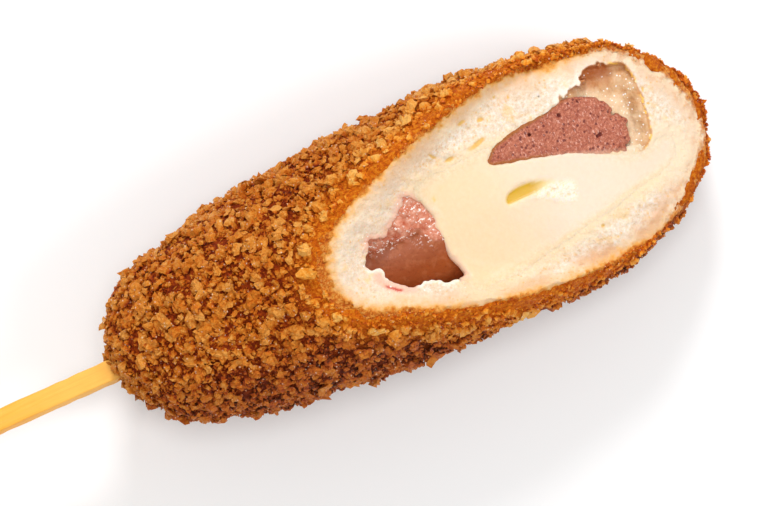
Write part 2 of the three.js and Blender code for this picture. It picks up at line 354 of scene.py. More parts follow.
class Shades:
    """A material's node tree, built one named step at a time."""

    def __init__(self, name):
        self.material = bpy.data.materials.new(name)
        self.material.use_nodes = True
        self.tree = self.material.node_tree
        self.shader = self.tree.nodes["Principled BSDF"]
        place = self.node("TexCoord", {})
        scaled = self.node("VectorMath", {0: place.outputs["Object"], "Scale": 1 / MM}, operation="SCALE")
        self.place = scaled.outputs[0]

    def put(self, value, socket):
        if isinstance(value, bpy.types.NodeSocket):
            self.tree.links.new(value, socket)
        else:
            socket.default_value = value

    def node(self, kind, inputs, **settings):
        """A node of that kind, with its settings and what goes into its sockets."""
        node = self.tree.nodes.new("ShaderNode" + kind)
        for name, value in settings.items():
            setattr(node, name, value)
        for name, value in inputs.items():
            self.put(value, node.inputs[name])
        return node

    def mask(self, name):
        return self.node("Attribute", {}, attribute_name=name).outputs["Fac"]

    def stretched(self, scale):
        return self.node("VectorMath", {0: self.place, 1: scale}, operation="MULTIPLY").outputs[0]

    def noise(self, spacing, detail=3.0, rough=0.5, distortion=0.0, place=None):
        node = self.node("TexNoise", {
            "Vector": place or self.place, "Scale": 1 / spacing, "Detail": detail, "Roughness": rough,
            "Distortion": distortion,
        })
        return node.outputs["Fac"]

    def maths(self, operation, a, b):
        return self.node("Math", {0: a, 1: b}, operation=operation).outputs[0]

    def times(self, a, b):
        return self.maths("MULTIPLY", a, b)

    def plus(self, a, b):
        return self.maths("ADD", a, b)

    def minus(self, a, b):
        return self.maths("SUBTRACT", a, b)

    def spread(self, value, low, high, start=0.0, end=1.0):
        """The value's share of the way from low to high, smoothed, from start to end."""
        node = self.node(
            "MapRange",
            {"Value": value, "From Min": low, "From Max": high, "To Min": start, "To Max": end},
            interpolation_type="SMOOTHSTEP",
        )
        return node.outputs["Result"]

    def dots(self, spacing, far, near, patch, low, high, detail=2):
        """Dots from far to near the middles of cells, in patches where a wider noise is high."""
        cells = self.node("TexVoronoi", {"Vector": self.place, "Scale": 1 / spacing})
        dot = self.spread(cells.outputs["Distance"], far, near)
        return self.times(dot, self.spread(self.noise(patch, detail), low, high))

    def ramp(self, value, stops):
        node = self.node("ValToRGB", {"Fac": value})
        elements = node.color_ramp.elements
        while len(elements) < len(stops):
            elements.new(0.5)
        for element, (place, colour) in zip(elements, stops):
            element.position = place
            element.color = linear(colour)
        return node.outputs["Color"]

    def mix(self, share, a, b):
        a, b = [linear(c) if isinstance(c, int) else c for c in (a, b)]
        return self.node("Mix", {0: share, 6: a, 7: b}, data_type="RGBA").outputs[2]

    def tinted(self, colour, *tints):
        """The colour under tints, each given as where it goes, a mask's name or a value, as its
        share there and as its own colour."""
        for where, share, tint in tints:
            where = self.mask(where) if isinstance(where, str) else where
            colour = self.mix(self.times(where, share), colour, tint)
        return colour

    def bump(self, height, depth, under=None):
        """Bumps of the height's own range times depth millimetres, over those under them."""
        node = self.node("Bump", {"Strength": 1, "Distance": depth * MM, "Height": height})
        if under is not None:
            self.put(under, node.inputs["Normal"])
        return node.outputs["Normal"]

    def finish(self, piece, glow=(), **sockets):
        for name, value in zip(("Weight", "Radius", "Scale"), glow):
            sockets["Subsurface_" + name] = value
        for name, value in sockets.items():
            self.put(value, self.shader.inputs[name.replace("_", " ")])
        piece.data.materials.append(self.material)


# ---- dough and crust

CRUMB_BED = 0.8
FRONT_SLANT = 0.25

# The shell: its grid, its drop inside the bite, its rise at the front and its lining under the rim.
SHELL_GRID = 0.95
SHELL_DROP = 16.0
SHELL_RISE = 1.2
LINING = 3.2
LINING_DROP = 1.5

# The torn dough: its grid and inset, its back and lower ends, the tray under the fillings, the
# opening on the sausage and how deep the dough goes under the shell's rim.
DOUGH_GRID = 0.33
DOUGH_RIM = 0.25
DOUGH_BACK_X = -24.5
DOUGH_FLOOR = -6.5
TRAY_DEPTH = 3.0
TRAY_IN_CHEESE = 1.2
TRAY_IN_SLICE = 0.35
OPENING_FLOOR = -2.0
LIP_OVERHANG = 2.2
SKIRT = 9.0

# Spacing, least and most radius, share of the places that have one and seed, as for SMALL_PITS.
LARGE_PORES = (2.6, 0.12, 0.5, 0.14, 35)


def skin_relief(x, y, z):
    """Slow swells and crags of the crust under its crumbs, fuller at the back's shoulders."""
    shoulders = ease(x, -51, -60) * np.where(y > 0, ease(y, 7, 14), ease(y, -10, -17))
    front = ease(x - FRONT_SLANT * y, 52, 61) * (1 - 0.35 * ease(y, -12, -18))
    flank = ease(x, -54, -48) * ease(x, -14, -22) * ease(y, 5, 15)
    swells = relief(x, y, z, (0.55, 13, 3), (0.55, 2.8, 5), (0.275, 1.4, 22))
    return swells + 0.9 * shoulders - 0.35 * front - 0.8 * flank


def plan(x, y):
    """How far inside each of the bite's outlines a place seen from above is."""
    ragged = relief(x, y, 0 * x, (0.3, 1.7, 31), (0.34, 0.8, 32))
    cavity = inside(CAVITY, x, y)
    tatters = 1.3 + 0.8 * ease(x, 48, 44) * ease(y, 11, 13) - 0.8 * ease(x, 50, 53)
    reach = 1.3 * ease(y, -4, -7) * ease(x, 12, 8)
    corner = 0.6 * ease(x, 44.5, 48) * ease(y, 2, -2)
    tip = 1 - 0.8 * ease(x, 2, 4.5) * ease(y, -8, -11)
    return types.SimpleNamespace(
        bread=inside(BREAD, x, y) + 1.2 * ragged,
        opening=inside(OPENING, x, y) + 0.8 * ragged * tip,
        cheese=inside(CHEESE, x, y) + 0.4 * ragged + reach,
        slice=inside(SLICE, x, y) + (0.35 + 1.0 * ease(x, 42, 48)) * ragged - corner,
        cavity=cavity + tatters * ragged * ease(np.abs(cavity), 2.2, 0.4),
    )


def melted(x, y):
    """Share of the cheese's border that runs over the dough: all but its open cliff."""
    return np.maximum(ease(x + 0.6 * y, 4, 8), ease(y, -12.5, -14.5))


def pore(x, y):
    """How deep in one of the long pores a place seen from above is, from 0 to 1."""
    deepest = np.zeros(np.shape(x))
    bend = 0.25 * noise(x, y, 0 * x, 1.3, 33)
    for middle_x, middle_y, length, width, turn in PORES:
        along = (x - middle_x) * math.cos(turn) + (y - middle_y) * math.sin(turn)
        across = (y - middle_y) * math.cos(turn) - (x - middle_x) * math.sin(turn)
        reach = np.sqrt((along / (length / 2)) ** 2 + ((across + bend) / width) ** 2)
        deepest = np.maximum(deepest, ease(reach, 1.15, 0.5))
    return deepest


def sliver(x, y):
    """How far from the pink sliver that shows in the dough's lower lip."""
    lines = [off_line(start, end, x, y) for start, end in zip(SLIVER, SLIVER[1:])]
    return np.sqrt(functools.reduce(np.minimum, lines))


def dough_top(x, y, edges):
    """Height of the torn dough above the axis, with the cavity's walls sloping in."""
    loose = 1 - 0.85 * ease(edges.cheese, -1.8, 1.0)
    torn = relief(x, y, 0 * x, (0.32, 6.5, 21), (0.16, 2.3, 22), (0.2, 1.1, 23))
    top = bite_height(x, y) + loose * torn
    steep_side = ease(y - 0.25 * (x - 45), 6, 12)
    gentle = 3.6 * ease(edges.cavity, -0.2, 5.0)
    deep = 3.0 * ease(x, 41, 45) * (1 - 0.6 * ease(x, 48, 53))
    steep = (1.2 + deep) * ease(edges.cavity, -0.1, 0.9)
    well = gentle + (steep - gentle) * steep_side
    slump = ease(edges.opening, -5, 0) * ease(y, -7, 1) * ease(x, 2, -3)
    under_cheese = ease(edges.cheese, -0.6, 1.6)
    rim = (0.9 - 0.7 * ease(x, 40, 54)) * ease(edges.bread, 1.0, -1.6)
    cliff = 3.0 * ease(edges.cheese, -0.4, 0.3) * (1 - melted(x, y))
    return top - well - rim - cliff - 1.3 * slump - 0.4 * pore(x, y) - 0.3 * under_cheese


def near_cut(x, y, z):
    """Share of the crust's brighter band along the cut and of its paler front end."""
    band = ease(inside(BREAD, x, y), -10, -1.2) * ease(z, -2, 5)
    end = 0.85 * ease(x + 0.5 * y, 24, 54) * ease(z + 9 * ease(x, 46, 62), -8, 4)
    return np.maximum(band, end)


def underside_browning_and_shade(y, z):
    """Share of the crust's darker, drier look towards the underside and the picture's lower edge:
    partly browner crumbs, partly painted shade on the side away from the lamps.
    """
    return np.maximum(ease(z, -2, -20), 0.8 * ease(y, -4, -22))


def crust():
    """The browned shell under the crumbs, coarse because they cover it."""
    xs = spaced((-71.6, 70.4, SHELL_GRID))
    ys = spaced((-28.4, 28.4, SHELL_GRID))
    zs = spaced((-25.4, 27.2, SHELL_GRID))
    x, y, z, flat = grid(xs, ys, zs)
    depth = body_depth(x, y, z)
    skin = depth - CRUMB_BED + skin_relief(x, y, z)
    bite = bite_height(*flat)
    drop = SHELL_DROP * ease(inside(BREAD, *flat), 0.5, 3.0)
    rise = SHELL_RISE * ease(flat[0] - FRONT_SLANT * flat[1], 46, 58)
    top = bite + skin_relief(*flat, bite) - CRUMB_BED - drop + rise
    lining = least(LINING - depth, below(bite - LINING_DROP, z))
    field = least(skin, np.maximum(below(top, z), lining), z + AXIS_HEIGHT)
    vertices, faces = surface_net(field, xs, ys, zs)
    masks = {"near": near_cut(*vertices.T), "low": underside_browning_and_shade(vertices[:, 1], vertices[:, 2])}
    piece = mesh_piece("crust_look", vertices, faces, masks)
    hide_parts("dough")
    crust_finish(piece)


def crust_finish(piece):
    s = Shades("crust")
    shade = s.noise(0.8, 4, 0.7)
    # The shell shows in the gaps between crumbs; its dark tones are partly browned crust, partly painted
    # shade of those gaps.
    usual = s.ramp(shade, [(0.3, 0x601400), (0.5, 0x8C2E00), (0.7, 0xB44C02)])
    # Darker tones towards the underside: partly browner crust, partly painted shade.
    low = s.ramp(shade, [(0.3, 0x380A00), (0.5, 0x5C1C00), (0.7, 0x843204)])
    near = s.ramp(shade, [(0.3, 0xAA4200), (0.5, 0xD46802), (0.7, 0xEE9822)])
    colour = s.tinted(usual, ("low", 1, low), ("near", 1, near))
    s.finish(piece, Base_Color=colour, Roughness=0.7, Specular_IOR_Level=0.15, Normal=s.bump(shade, 0.9))


def dough():
    """The torn dough that the bite shows, down to the skirt that the shell hides."""
    xs = spaced((DOUGH_BACK_X, 67.2, DOUGH_GRID))
    ys = spaced((-25.4, 25.4, DOUGH_GRID))
    zs = spaced((-7, 24.8, DOUGH_GRID))
    x, y, z, flat = grid(xs, ys, zs)
    skin = body_depth(x, y, z) - CRUMB_BED - DOUGH_RIM + skin_relief(x, y, z)
    edges = plan(*flat)
    top = dough_top(*flat, edges)
    slope_x, slope_y = np.gradient(top, xs, ys)
    steepness = np.sqrt(1 + slope_x**2 + slope_y**2)[:, :, None]
    tray = np.maximum(edges.cheese - TRAY_IN_CHEESE, edges.slice - TRAY_IN_SLICE)
    tray_wall = np.maximum(-tray[:, :, None], below(top - TRAY_DEPTH, z))
    overhang = LIP_OVERHANG * ease(below(top, z), 0.6, 3.0)
    opening_wall = np.maximum(-edges.opening[:, :, None] - overhang, OPENING_FLOOR - z)
    field = least(skin, below(top, z) / steepness, tray_wall, opening_wall)
    field = pitted(field, x, y, z, 0.9, *LARGE_PORES)
    vertices, faces = shown_dough(*surface_net(field, xs, ys, zs))
    piece = mesh_piece("dough_look", vertices, faces, dough_masks(vertices[:, 0], vertices[:, 1]))
    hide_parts("dough")
    dough_finish(piece)


def shown_dough(vertices, faces):
    """The dough's surface without its skin and its underside, which the shell covers."""
    middle = vertices[faces].mean(1)
    x, y, z = middle.T
    depth = bite_height(x, y) - z
    outer = (body_depth(x, y, z) < 1.6) & (depth > 3.2)
    faces = faces[(depth < SKIRT) & ~outer & (inside(BREAD, x, y) > -2.2) & (z > DOUGH_FLOOR)]
    used, faces = np.unique(faces, return_inverse=True)
    return vertices[used], faces.reshape(-1, 4)


def dough_masks(x, y):
    """Where the dough's tones go, by places seen from above."""
    at = plan(x, y)
    bread, opening, cheese, cavity = at.bread, at.opening, at.cheese, at.cavity
    corner = ease(y + 0.12 * (x - 50), 10.5, 15.5) * (1 - 0.8 * ease(x, 50, 53))
    pink = ease(sliver(x + 0.3, y + 0.35), 0.4, 0.15)
    return {
        "within": bread,
        "wet": np.maximum(ease(cavity, -1.0, 1.2), 0.85 * ease(opening, -4.0, -0.3)),
        "cavity": ease(cavity, -0.15, 0.2),
        "flap": ease(cavity, -2.5, -0.4) * ease(x - y, 36, 31) * ease(x, 36, 39),
        "cheesy": ease(cheese, -3.5, 0.3),
        "milky": ease(opening, -9, -3) * ease(y, -2, 3) * ease(bread, 0.8, 3.5),
        "shaded": corner * ease(cavity, -0.15, 0.3),
        "seam": ease(np.abs(cavity - 0.1), 0.45, 0.15) * ease(x, 50.5, 52.5),
        "lip": ease(np.abs(opening), 1.0, 0.2) * ease(y, -2, -4),
        "end": ease(cheese, -4.5, 0) * ease(x, 49, 55),
        "front": ease(x - 0.35 * np.abs(y), 34, 50),
        "left": ease(x, 2, -10),
        "browned": ease(x, 16, 34) * ease(y, -3, -11),
        "beside": ease(at.slice, -3.6, -0.8) * ease(x, 41, 44) * ease(y, 14.5, 12),
        "blend": ease(opening, -2.0, -0.1) * ease(y, -1, 1.5),
        "pore": pore(x, y),
        "membrane": ease(sliver(x, y), 1.4, 0.5),
        "sliver": pink * ease(x, -6.6, -7.6) * ease(x, -10.4, -9.6),
    }


def dough_finish(piece):
    s = Shades("dough")
    fringe = s.times(s.minus(s.noise(1.7, 4, 0.6), 0.5), 2.6)
    within = s.plus(s.mask("within"), fringe)
    # Painted glints: white dots on the wet dough, for light on its droplets.
    painted_droplet_glints = s.dots(1.0, 0.25, 0.12, 2.4, 0.46, 0.54)
    grains = s.spread(s.noise(1.1, 2), 0.5, 0.6)
    colour = s.tinted(
        bread_colour(s, within),
        ("cavity", 1, damp_colour(s)),
        ("shaded", 0.85, 0xBE662A),
        ("seam", 0.75, s.mix(grains, 0xC4803E, 0xFAC43C)),
        ("membrane", 0.8, 0xEEBCA4),
        ("sliver", 1, 0xCE5442),
        (s.times(painted_droplet_glints, s.mask("wet")), 1, 0xFFFCF6),
    )
    gloss = s.minus(0.72, s.times(s.mask("wet"), 0.46))
    crusty = s.bump(s.times(s.noise(0.7, 4, 0.7), s.spread(within, 0.6, -0.6)), 0.9)
    bumps = s.bump(s.noise(1.1, 4, 0.65), 0.5, crusty)
    s.finish(piece, DOUGH_GLOW, Base_Color=colour, Roughness=gloss, Normal=bumps, Specular_IOR_Level=0.3)


def bread_colour(s, within):
    """The torn dough's colour: browned at the crust, mottled, stained and blushed inside it."""
    eaten = s.plus(within, s.times(s.mask("front"), 1.8))
    layers = s.ramp(s.spread(eaten, -2.0, 6.0), [
        (0.0, 0xC86004), (0.1, 0xDE821A), (0.2, 0xEAA650), (0.3, 0xEABC84),
        (0.44, 0xEBCBA4), (0.65, 0xECD5B6), (1.0, 0xEDDBC3),
    ])
    mottle = s.ramp(s.noise(0.9, 5, 0.72), [
        (0.34, 0xD2A87C), (0.45, 0xE4CEB4), (0.55, 0xECDFCF),
        (0.66, 0xF6F1EB),
    ])
    glaze = s.ramp(s.noise(0.7, 4, 0.7), [(0.36, 0xAC4604), (0.5, 0xDC7814), (0.64, 0xF8B050)])
    left = s.times(s.mask("left"), s.spread(within, 2.0, 4.5))
    stains = s.times(s.spread(s.noise(3.2, 4, 0.65), 0.53, 0.68), s.spread(within, 2.5, 5.0))
    scorched = s.times(s.spread(s.noise(2.0, 4, 0.65), 0.47, 0.6), s.spread(within, 3.2, 0.2))
    blush = s.spread(s.noise(9, 2), 0.38, 0.56)
    for share in (
        s.spread(within, 6.5, 0.8),
        s.spread(within, 0.2, 2.0),
        s.spread(s.mask("left"), 1, 0, 0.3, 1),
        s.spread(s.mask("browned"), 0, 1, 0.42, 0.85),
    ):
        blush = s.times(blush, share)
    return s.tinted(
        layers,
        (s.spread(within, 1.6, 4.5), 0.7, mottle),
        ("milky", 0.4, 0xF4DEC6),
        (left, 0.35, 0xE8CAAA),
        (stains, 0.6, 0xF2C884),
        (s.times(scorched, s.mask("front")), 0.55, 0xCE8C5C),
        (s.spread(within, 0.5, -0.7), 0.85, glaze),
        ("flap", 0.7, 0xFDF2E4),
        (blush, 1, 0xDCA67A),
        ("cheesy", 0.85, 0xF0D6B0),
        (s.dots(1.15, 0.3, 0.12, 4, 0.42, 0.6), 0.6, 0xE6B068),
        ("end", 0.8, 0xF0D9BC),
        ("lip", 0.7, 0xFFF6EA),
        ("blend", 0.75, 0xEEB29A),
        ("pore", 0.9, 0xE6B860),
    )


def damp_colour(s):
    """The colour of the hollow beside the upper sausage, wet and sparkling."""
    damp = s.ramp(s.noise(2.4, 4, 0.6), [(0.3, 0xC68E5C), (0.5, 0xD7AA7C), (0.75, 0xECCDA8)])
    sparkle = s.dots(0.9, 0.27, 0.15, 2.2, 0.47, 0.55)
    return s.tinted(damp, (sparkle, 1, 0xFFFAF0), ("beside", 0.6, 0xF8DEBA))


# ---- fillings

CHEESE_GRID = 0.54
SLICE_GRID = 0.32
SAUSAGE_GRID = 0.38
HIDDEN_GRID = 1.5
SLICE_DEPTH = 9.5
CHEESE_DEPTH = 12.0
SMALL_PITS = (1.5, 0.16, 0.5, 0.5, 52)

# The sausage's torn upper part in the opening: where it ends behind and below, its slope across
# and the length of that slope for each millimetre.
TORN_BACK_X = -16
TORN_FLOOR = 3
TORN_SLOPE = 0.9
TORN_SLOPE_LENGTH = 1.35


def cheese():
    """The melted cheese, down to the tray in the dough."""
    xs = spaced((1.9, 61.6, CHEESE_GRID))
    ys = spaced((-19.8, 13.2, CHEESE_GRID))
    zs = spaced((-13.2, -4, 1.4), (-4, 20.8, CHEESE_GRID))
    _, y, z, flat = grid(xs, ys, zs)
    edges = plan(*flat)
    top = cheese_top(*flat, edges)
    side = edges.cheese + 1.4 * melted(*flat)
    side = least(side, 0.25 - edges.slice, 0.1 - edges.opening)[:, :, None]
    floor = z + CHEESE_DEPTH - 0.02 * (y + 2) ** 2
    vertices, faces = surface_net(least(below(top, z), side, floor), xs, ys, zs)
    vx, vy, vz = vertices.T
    at = plan(vx, vy)
    masks = {
        "dent": dent(vx, vy),
        "grainy": grainy(vx, vy),
        "cliff": ease(cheese_top(vx, vy, at) - vz, 0.8, 4),
        "border": ease(at.cheese, 3.6, 0.0) * melted(vx, vy),
        "rim": ease(at.opening, -1.5, -0.2) * (1 - melted(vx, vy)),
        "along": vx,
        "fold": ease(np.abs(at.cheese - 1.0), 0.9, 0.2) * ease(vy, -7, -10),
        "pore": pore(vx, vy),
    }
    piece = mesh_piece("cheese_look", vertices, faces, masks)
    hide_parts("cheese")
    cheese_finish(piece)


def dent(x, y):
    """Share of the crescent dent's depth: sharp along its upper left and fading to the right."""
    return ease(inside(DENT, x, y), -0.25, 0.35) * ease(x, 33, 25)


def grainy(x, y):
    return ease(inside(GRAINY, x, y), -0.8, 0.8)


def cheese_top(x, y, edges):
    """Height of the cheese, which thins out over the dough except at its open cliff."""
    top = bite_height(x, y) + 0.2 * noise(x, y, 0 * x, 9, 41)
    over_dough = melted(x, y)
    thin = 0.45 * ease(edges.cheese, 1.6, -1.4) * over_dough
    fold = 0.12 * ease(edges.cheese, 1.4, 0.5) * ease(y, -8, -11) * over_dough
    cliff = 0.9 * ease(edges.opening, -1.0, 0.0) * (1 - over_dough)
    seam = 0.12 * ease(edges.slice, -2.5, -0.2)
    rough = 0.4 * grainy(x, y) * noise(x, y, 0 * x, 0.9, 43)
    return top - thin + fold - cliff + seam - 0.7 * dent(x, y) + rough


def cheese_finish(piece):
    s = Shades("cheese")
    along = s.plus(s.mask("along"), s.times(s.noise(9, 2), 8))
    smooth = s.ramp(s.spread(along, 8, 40), [(0.0, 0xE8CBA1), (0.4, 0xE9CEA8), (1.0, 0xE9D5BF)])
    fine = s.ramp(s.noise(0.9, 3, 0.6), [(0.35, 0xE4C092), (0.7, 0xF8DFC4)])
    crumbly = s.ramp(s.noise(0.9, 5, 0.72), [(0.3, 0xE6C69C), (0.5, 0xF0D8B6), (0.72, 0xF7E8D0)])
    # Deeper yellow down the dent: partly the thin cheese's own colour, partly painted shade under its
    # sharp upper edge.
    dent_yellow_and_shade = s.ramp(s.mask("dent"), [(0.15, 0xF6DA88), (0.5, 0xE8C244), (0.9, 0xD4A612)])
    speckled = s.ramp(s.noise(0.8, 4, 0.7), [(0.4, 0xF4DCA8), (0.52, 0xFCF4E6)])
    colour = s.tinted(
        s.mix(0.14, smooth, fine),
        ("fold", 0.6, 0xF2CE92),
        ("border", 0.8, crumbly),
        ("dent", 1, dent_yellow_and_shade),
        ("grainy", 0.6, speckled),
        ("pore", 0.7, 0xEEBA5A),
        ("cliff", 0.35, 0xD6A06E),
        ("rim", 0.6, 0xF4CEBE),
    )
    rough = s.bump(s.times(s.noise(0.5, 5, 0.7), s.mask("border")), 0.3)
    grains = s.bump(s.times(s.noise(0.6, 3, 0.6), s.mask("grainy")), 0.3, rough)
    bumps = s.bump(s.noise(1.3, 3, 0.5), 0.05, grains)
    s.finish(piece, CHEESE_GLOW, Base_Color=colour, Roughness=0.4, Normal=bumps)


def slice_top(x, y, edges):
    """Height of the upper sausage's bitten face, ragged and lower at its right end."""
    top = bite_height(x, y) - 0.15 + relief(x, y, 0 * x, (0.12, 1.3, 51), (0.2, 6, 52))
    return top - 0.8 * ease(edges.slice, 1.4, 0.0) * ease(x, 40, 47)


def slice_of_sausage():
    """The upper sausage's wedge, with small pits in its bitten face."""
    xs = spaced((18.4, 51.6, SLICE_GRID))
    ys = spaced((-5.2, 14.4, SLICE_GRID))
    zs = spaced((-10.8, 1.2, HIDDEN_GRID), (1.2, 16.8, SLICE_GRID))
    x, y, z, flat = grid(xs, ys, zs)
    edges = plan(*flat)
    top = slice_top(*flat, edges)
    field = least(below(top, z), edges.slice[:, :, None], z + SLICE_DEPTH)
    field = pitted(field, x, y, z, 1.2, *SMALL_PITS)
    vertices, faces = surface_net(field, xs, ys, zs)
    vx, vy, vz = vertices.T
    at = plan(vx, vy)
    above_seam = vy - 6.7 + 0.373 * (vx - 20)
    masks = {
        # Depth below the bitten face, for painted shade down in its pits.
        "pit_shade": np.clip(slice_top(vx, vy, at) - vz, 0, 2),
        "skin": ease(at.slice, 0.95, 0.45) * ease(vx - 0.9 * vy, 32, 25),
        "pale": ease(above_seam, 2.0, 0.4) * ease(vx, 28, 40),
    }
    piece = mesh_piece("upper_sausage_look", vertices, faces, masks)
    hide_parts("upper_sausage")
    flesh_finish(piece)


def flesh_finish(piece):
    s = Shades("sausage_flesh")
    base = s.ramp(s.noise(1.6, 4, 0.6), [(0.3, 0x963C28), (0.5, 0xB86244), (0.72, 0xCC7E5E)])
    fine = s.ramp(s.noise(0.55, 4, 0.75), [(0.34, 0x6C1C0E), (0.5, 0xB86244), (0.68, 0xE6A68A)])
    colour = s.tinted(
        s.mix(0.6, base, fine),
        # Painted shade: dark red dots for pits too small to model, and darker down in the modelled pits.
        (s.dots(1.1, 0.34, 0.2, 1.6, 0.42, 0.52, detail=1), 0.9, 0x6E1A14),
        (s.spread(s.mask("pit_shade"), 0.08, 0.35), 0.9, 0x68140E),
        (s.spread(s.noise(0.6, 2, 0.5, 0.3, s.stretched((1.7, 0.7, 1))), 0.61, 0.67), 0.45, 0xF8CCBE),
        ("pale", 0.55, 0xF0C4A8),
        ("skin", 0.85, 0xA45C0A),
    )
    bumps = s.bump(s.noise(0.5, 4, 0.7), 0.34)
    s.finish(piece, MEAT_GLOW, Base_Color=colour, Roughness=0.42, Normal=bumps)


def sausage():
    """The long sausage: round where it is whole, torn and lifted in the bite's left opening."""
    xs = spaced((-58, -15, 2.0), (-15, 7.8, SAUSAGE_GRID))
    ys = spaced((-15.2, 12.8, SAUSAGE_GRID))
    zs = spaced((-14, 1, HIDDEN_GRID), (1, 16.8, SAUSAGE_GRID))
    x, y, z, flat = grid(xs, ys, zs)
    edges = plan(*flat)
    across = y - STICK_Y
    dome_x = SAUSAGE_BACK_X + SAUSAGE_RADIUS
    round_part = SAUSAGE_RADIUS - np.sqrt(across**2 + z**2)
    dome = SAUSAGE_RADIUS - np.sqrt(np.minimum(0, x - dome_x) ** 2 + across**2 + z**2)
    slope = (SAUSAGE_RADIUS + TORN_SLOPE * (y + 0.8) - z) / TORN_SLOPE_LENGTH
    under_dough = below(dough_top(*flat, edges) - 0.2, z)
    lifted = least(under_dough, slope, z - TORN_FLOOR, x - TORN_BACK_X)
    torn = ease(y, -3.5, -0.5) * ease(z, 5, 9) * ease(x, -14, -10)
    crags = torn * relief(x, y, z, (0.35, 2.2, 61), (0.21, 1.1, 78), (0.126, 0.55, 95))
    front = np.minimum(SAUSAGE_FRONT_X - x, 2.2 - edges.cheese[:, :, None])
    turned_y = across * math.cos(STICK_ROLL) + z * math.sin(STICK_ROLL)
    turned_z = -across * math.sin(STICK_ROLL) + z * math.cos(STICK_ROLL)
    bore = np.maximum(np.maximum(np.abs(turned_y), np.abs(turned_z)) - STICK_SIDE / 2, x - STICK_FRONT_X)
    skin = np.where(x < dome_x, dome, np.maximum(round_part, lifted)) + crags
    vertices, faces = surface_net(least(skin, front, bore), xs, ys, zs)
    vx, vy, vz = vertices.T
    edge = relief(vx, vy, 0 * vx, (0.7, 3.0, 62), (0.6, 1.1, 63)) - 0.5 - 2.6 * ease(vx, 0.5, 4)
    masks = {
        "torn": ease(vy, edge - 0.9, edge + 1.0) * ease(vz, 3, 6),
        "moist": ease(vy, edge - 2.8, edge + 0.2) * ease(vz, 3, 6),
        "across": vy,
        "along": vx,
    }
    piece = mesh_piece("sausage_look", vertices, faces, masks)
    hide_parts("sausage")
    sausage_finish(piece)


def sausage_finish(piece):
    s = Shades("sausage_skin")
    # The skin's tone by its place across the sausage and towards its front is slight painted shading.
    shade = s.plus(s.spread(s.mask("across"), -13.5, -1), s.times(s.noise(2.5, 3), 0.25))
    shade = s.minus(shade, s.spread(s.mask("along"), -6, 8, 0, 0.25))
    skin = s.ramp(shade, [(0.0, 0xB05C2C), (0.3, 0xAC5626), (0.65, 0xA05028), (1.0, 0xA45834)])
    flesh = s.ramp(s.noise(1.6, 4, 0.65), [(0.3, 0xBE5838), (0.5, 0xD68668), (0.7, 0xECB29A)])
    # Painted glints: small white flecks on the wet torn flesh, where light catches it.
    painted_glints = s.spread(s.noise(0.62, 3, 0.5, 0.4, s.stretched((1, 1.3, 1))), 0.57, 0.63)
    painted_glints = s.times(painted_glints, s.spread(s.noise(2.6, 2), 0.4, 0.54))
    colour = s.tinted(
        skin,
        (s.spread(s.noise(1.6, 3, 0.6), 0.5, 0.66), 0.35, 0xC0764C),
        (s.spread(s.noise(0.7, 4, 0.7), 0.5, 0.3), 0.4, 0x7A3416),
        ("torn", 1, flesh),
        (s.times(painted_glints, s.mask("moist")), 1, 0xFFF0E8),
    )
    gloss = s.minus(0.4, s.times(s.mask("torn"), 0.2))
    height = s.times(s.noise(0.6, 4, 0.65), s.plus(s.times(s.mask("torn"), 0.8), 0.2))
    bumps = s.bump(height, 0.4)
    s.finish(piece, MEAT_GLOW, Base_Color=colour, Roughness=gloss, Normal=bumps, Specular_IOR_Level=0.3)


# ---- stick

STICK_STEPS = 140
STICK_WEAR = 0.35
STICK_CORNER_STEPS = 4


def stick_profile():
    """The stick's square outline with worn corners."""
    profile = []
    for corner in range(4):
        turn = corner * math.pi / 2
        diagonal = np.array((math.cos(math.pi / 4 + turn), math.sin(math.pi / 4 + turn)))
        middle = diagonal * math.sqrt(2) * (STICK_SIDE / 2 - STICK_WEAR)
        for angle in turn + np.linspace(0, math.pi / 2, STICK_CORNER_STEPS):
            profile.append(middle + STICK_WEAR * np.array((math.cos(angle), math.sin(angle))))
    return np.array(profile)


def stick():
    """A square stick with worn edges, slightly swelling and uneven."""
    profile = stick_profile()
    sides = len(profile)
    x = np.linspace(STICK_BACK_X, STICK_FRONT_X, STICK_STEPS)[:, None]
    swell = 1 - 0.018 * np.abs(np.sin(x * 0.11)) - 0.012 * np.sin(x * 0.37 + 1)
    across, up = profile.T[:, None] * swell
    uneven = 1 + 0.05 * noise(x, across, up, 2.2, 71)
    across, up = across * uneven, up * uneven
    y = across * math.cos(STICK_ROLL) - up * math.sin(STICK_ROLL) + STICK_Y + STICK_SHIFT
    z = across * math.sin(STICK_ROLL) + up * math.cos(STICK_ROLL)
    rings = np.stack([x + 0 * y, y, z], -1)
    vertices = np.concatenate([rings.reshape(-1, 3), rings[[0, -1]].mean(1)])
    last = (STICK_STEPS - 1) * sides
    i = np.arange(0, last, sides)[:, None]
    j = np.arange(sides)
    k = (j + 1) % sides
    a, b, c, d = i + j, i + k, i + sides + k, i + sides + j
    faces = np.concatenate([
        np.stack([a, b, c], -1).reshape(-1, 3),
        np.stack([a, c, d], -1).reshape(-1, 3),
        np.stack([k, j, 0 * j + last + sides], -1),
        np.stack([j + last, k + last, 0 * j + last + sides + 1], -1),
    ])[:, ::-1]
    # Painted light: the stick lighter near the body, where the body's shadow falls on it.
    piece = mesh_piece("stick_look", vertices, faces, {"painted_light_near_body": ease(vertices[:, 0], -96, -76)})
    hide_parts("stick")
    stick_finish(piece)


